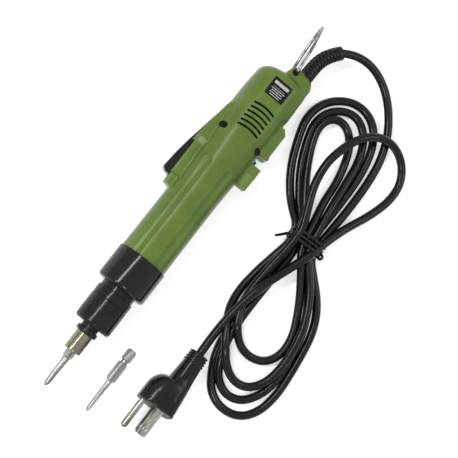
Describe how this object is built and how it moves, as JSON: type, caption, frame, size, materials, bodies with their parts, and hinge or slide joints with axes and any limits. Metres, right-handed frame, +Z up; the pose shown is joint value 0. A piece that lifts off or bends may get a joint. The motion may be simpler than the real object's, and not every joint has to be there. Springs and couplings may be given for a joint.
{
  "type": "electric torque screwdriver",
  "caption": "Inline electric torque screwdriver with a start lever, torque nut, quick-change chuck, hanging bail, grounded mains cord and a spare bit.",
  "frame": {"origin": "on the table under the middle of the tool and its spare bit", "axes": "+X from the bit to the rear of the tool, +Y to the side of the start lever, +Z up from the table"},
  "size_m": [0.3038, 0.156, 0.036],
  "materials": {
    "green_housing": "moulded olive green ABS, glossy",
    "black_gloss": "moulded black plastic, glossy",
    "black_anodised": "turned, black anodised, satin",
    "black_steel": "turned steel, blackened",
    "collar_brass": "turned brass, nickel plated, bright",
    "bit_steel": "hardened tool steel, satin grey",
    "bright_steel": "machined steel",
    "spring_steel": "drawn spring wire",
    "gear_steel": "sintered gear steel, oiled",
    "bush_bronze": "bronze and copper",
    "motor_zinc": "zinc plated drawn steel",
    "magnet_ferrite": "ferrite, matt",
    "core_iron": "laminated core iron",
    "carbon": "pressed carbon",
    "inner_plastic": "black nylon, matt",
    "board_green": "glass fibre circuit board",
    "label_black": "printed black label, bare of any name",
    "cord_pvc": "soft black PVC, glossy",
    "tie_plastic": "black plastic covered twist wire",
    "blade_nickel": "nickel plated brass"
  },
  "bodies": {
    "tool_body": {"housing_upper": "green_housing", "housing_lower": "green_housing", "housing_screws": "bright_steel", "label_plate": "label_black", "nose_cap": "black_gloss", "gear_case": "gear_steel", "output_bearing": "bright_steel", "motor_can": "motor_zinc", "motor_magnets": "magnet_ferrite", "motor_bearings": "bright_steel", "brush_holder": "inner_plastic", "brushes": "carbon", "brush_springs": "spring_steel", "start_switch": "inner_plastic", "direction_switch": "inner_plastic", "control_board": "board_green", "board_parts": "inner_plastic", "lead_wires": "cord_pvc", "lever_pin": "bright_steel", "lever_spring": "spring_steel", "clutch_spring": "spring_steel", "cord_boot": "cord_pvc", "cord_lead": "cord_pvc", "cord_loop": "cord_pvc", "cord_tail": "cord_pvc", "cord_hank_upper": "cord_pvc", "cord_hank_lower": "cord_pvc", "cord_tie": "tie_plastic", "plug_body": "cord_pvc", "plug_pins": "blade_nickel"},
    "spring_feed": {"spring_seat": "bright_steel"},
    "torque_nut": {"torque_nut": "black_anodised", "spindle_bush": "bush_bronze"},
    "spindle": {"output_spindle": "bright_steel", "retaining_balls": "bright_steel", "snap_ring": "bright_steel", "stop_ring": "black_steel", "clutch_plate": "bright_steel", "clutch_balls": "bright_steel", "output_carrier": "gear_steel", "screwdriver_bit": "bit_steel", "sleeve_spring": "spring_steel"},
    "chuck_sleeve": {"chuck_sleeve": "collar_brass"},
    "output_planet_1": {"output_planet_1": "gear_steel"},
    "output_planet_2": {"output_planet_2": "gear_steel"},
    "output_planet_3": {"output_planet_3": "gear_steel"},
    "input_stage": {"input_carrier": "gear_steel"},
    "input_planet_1": {"input_planet_1": "gear_steel"},
    "input_planet_2": {"input_planet_2": "gear_steel"},
    "input_planet_3": {"input_planet_3": "gear_steel"},
    "motor": {"motor_shaft": "bright_steel", "motor_pinion": "bright_steel", "armature": "core_iron", "commutator": "bush_bronze", "cooling_fan": "inner_plastic"},
    "start_lever": {"start_lever": "black_gloss"},
    "switch_plunger": {"switch_plunger": "black_gloss"},
    "direction_knob": {"direction_knob": "black_gloss"},
    "bail": {"bail": "spring_steel"},
    "spare_bit": {"spare_bit": "bit_steel"}
  },
  "joints": [
    {"name": "torque_nut_turn", "type": "hinge", "parent": "spring_feed", "child": "torque_nut", "pos_m": [-0.0503, 0.00478, 0.018], "axis": [1, 0, 0], "range_deg": [-720, 720]},
    {"name": "torque_nut_feed", "type": "slide", "parent": "tool_body", "child": "spring_feed", "axis": [1, 0, 0], "range_m": [-0.002, 0.002], "deforming": ["clutch_spring"]},
    {"name": "spindle_spin", "type": "hinge", "parent": "tool_body", "child": "spindle", "pos_m": [-0.0503, 0.00478, 0.018], "axis": [1, 0, 0], "continuous": true},
    {"name": "chuck_sleeve_draw", "type": "slide", "parent": "spindle", "child": "chuck_sleeve", "axis": [-1, 0, 0], "range_m": [0, 0.0024], "stiffness_N_per_m": 1500, "springref_m": -0.002, "deforming": ["sleeve_spring"]},
    {"name": "input_stage_spin", "type": "hinge", "parent": "tool_body", "child": "input_stage", "pos_m": [-0.0503, 0.00478, 0.018], "axis": [1, 0, 0], "continuous": true},
    {"name": "motor_spin", "type": "hinge", "parent": "tool_body", "child": "motor", "pos_m": [-0.0503, 0.00478, 0.018], "axis": [1, 0, 0], "continuous": true},
    {"name": "start_lever_press", "type": "hinge", "parent": "tool_body", "child": "start_lever", "pos_m": [0.069, 0.02138, 0.018], "axis": [0, 0, 1], "range_deg": [0, 3.6], "stiffness_Nm_per_rad": 0.6, "springref_deg": -5.73, "deforming": ["lever_spring"]},
    {"name": "switch_plunger_press", "type": "slide", "parent": "tool_body", "child": "switch_plunger", "axis": [0, -1, 0], "range_m": [0, 0.0014]},
    {"name": "direction_knob_slide", "type": "slide", "parent": "tool_body", "child": "direction_knob", "axis": [0, 0, 1], "range_m": [-0.0018, 0.0018]},
    {"name": "bail_swing", "type": "hinge", "parent": "tool_body", "child": "bail", "pos_m": [0.1148, 0.00238, 0.018], "axis": [0, 0, 1], "range_deg": [-15, 75]},
    {"name": "spare_bit_lift", "type": "slide", "parent": "tool_body", "child": "spare_bit", "axis": [0, 0, 1], "range_m": [0, 0.04]},
    {"name": "output_planet_1_spin", "type": "hinge", "parent": "spindle", "child": "output_planet_1", "pos_m": [-0.0323, 0.00478, 0.0255], "axis": [1, 0, 0], "continuous": true},
    {"name": "input_planet_1_spin", "type": "hinge", "parent": "input_stage", "child": "input_planet_1", "pos_m": [-0.0323, 0.00478, 0.0255], "axis": [1, 0, 0], "continuous": true},
    {"name": "output_planet_2_spin", "type": "hinge", "parent": "spindle", "child": "output_planet_2", "pos_m": [-0.0323, -0.00171, 0.01425], "axis": [1, 0, 0], "continuous": true},
    {"name": "input_planet_2_spin", "type": "hinge", "parent": "input_stage", "child": "input_planet_2", "pos_m": [-0.0323, -0.00171, 0.01425], "axis": [1, 0, 0], "continuous": true},
    {"name": "output_planet_3_spin", "type": "hinge", "parent": "spindle", "child": "output_planet_3", "pos_m": [-0.0323, 0.01128, 0.01425], "axis": [1, 0, 0], "continuous": true},
    {"name": "input_planet_3_spin", "type": "hinge", "parent": "input_stage", "child": "input_planet_3", "pos_m": [-0.0323, 0.01128, 0.01425], "axis": [1, 0, 0], "continuous": true}
  ],
  "couplings": [
    {"joint": "torque_nut_feed", "follows": "torque_nut_turn", "m_per_rad": 0.00015915},
    {"joint": "input_stage_spin", "follows": "spindle_spin", "ratio": 5},
    {"joint": "motor_spin", "follows": "spindle_spin", "ratio": 25},
    {"joint": "switch_plunger_press", "follows": "start_lever_press", "m_per_rad": 0.021486},
    {"joint": "output_planet_1_spin", "follows": "spindle_spin", "ratio": -2.6667},
    {"joint": "input_planet_1_spin", "follows": "spindle_spin", "ratio": -13.333},
    {"joint": "output_planet_2_spin", "follows": "spindle_spin", "ratio": -2.6667},
    {"joint": "input_planet_2_spin", "follows": "spindle_spin", "ratio": -13.333},
    {"joint": "output_planet_3_spin", "follows": "spindle_spin", "ratio": -2.6667},
    {"joint": "input_planet_3_spin", "follows": "spindle_spin", "ratio": -13.333}
  ]
}
